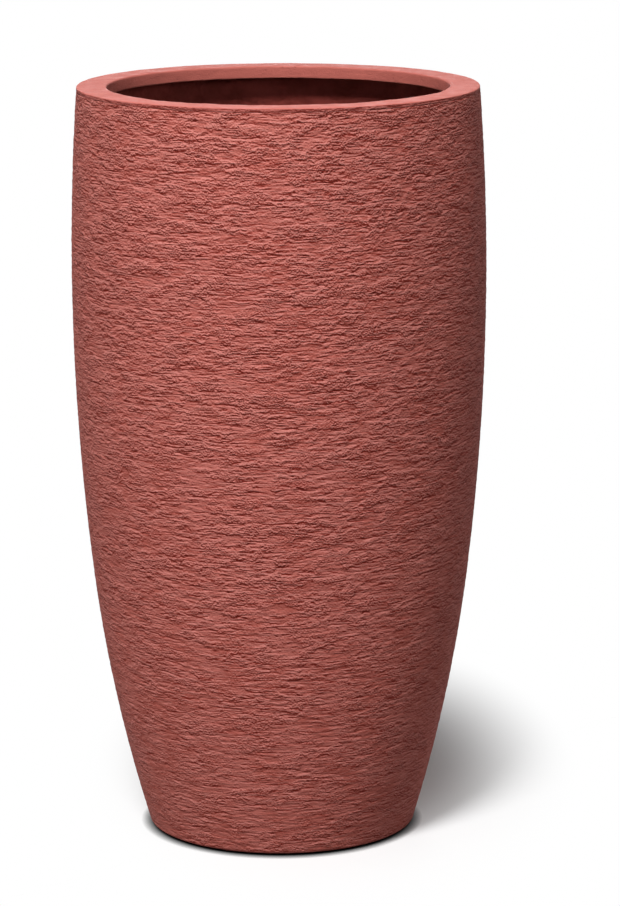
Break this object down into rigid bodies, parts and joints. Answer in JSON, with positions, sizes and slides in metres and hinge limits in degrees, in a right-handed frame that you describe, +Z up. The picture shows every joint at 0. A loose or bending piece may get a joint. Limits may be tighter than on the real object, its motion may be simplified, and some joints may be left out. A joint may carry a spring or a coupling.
{
  "type": "tall planter",
  "caption": "Tall round tapered floor planter with a combed outer face, a smooth overhanging rim, a plugged drain and a lift-out planting insert with folding bail handles.",
  "frame": {"origin": "on the floor, under the planter's axis", "axes": "+Z up along the planter's axis, front towards -Y, handles of the insert at +X and -X"},
  "size_m": [0.384, 0.384, 0.7],
  "materials": {
    "combed_fibre_clay": "matte red clay, combed round the wall while wet",
    "smooth_fibre_clay": "matte red clay, trowelled smooth",
    "insert_plastic": "moulded, fine grain",
    "bail_wire": "zinc-plated wire",
    "grip_plastic": "moulded sleeve",
    "plug_rubber": "moulded",
    "pad_rubber": "die cut"
  },
  "bodies": {
    "planter": {"outer_shell": "combed_fibre_clay", "rim_ring": "smooth_fibre_clay", "base_plate": "smooth_fibre_clay", "foot_pad_front_right": "pad_rubber", "foot_pad_back_right": "pad_rubber", "foot_pad_back_left": "pad_rubber", "foot_pad_front_left": "pad_rubber", "support_bracket_front_right": "smooth_fibre_clay", "support_bracket_back_right": "smooth_fibre_clay", "support_bracket_back_left": "smooth_fibre_clay", "support_bracket_front_left": "smooth_fibre_clay"},
    "plug": {"drain_plug": "plug_rubber"},
    "insert": {"planting_insert": "insert_plastic"},
    "left_handle": {"left_bail": "bail_wire", "left_grip": "grip_plastic"},
    "right_handle": {"right_bail": "bail_wire", "right_grip": "grip_plastic"}
  },
  "joints": [
    {"name": "plug_pull", "type": "slide", "parent": "planter", "child": "plug", "axis": [0, 0, 1], "range_m": [0, 0.06]},
    {"name": "insert_lift", "type": "slide", "parent": "planter", "child": "insert", "axis": [0, 0, 1], "range_m": [0, 0.34]},
    {"name": "left_handle_swing", "type": "hinge", "parent": "insert", "child": "left_handle", "pos_m": [-0.0901, 0, 0.6463], "axis": [0, 1, 0], "range_deg": [0, 180]},
    {"name": "right_handle_swing", "type": "hinge", "parent": "insert", "child": "right_handle", "pos_m": [0.0901, 0, 0.6463], "axis": [0, -1, 0], "range_deg": [0, 180]}
  ]
}
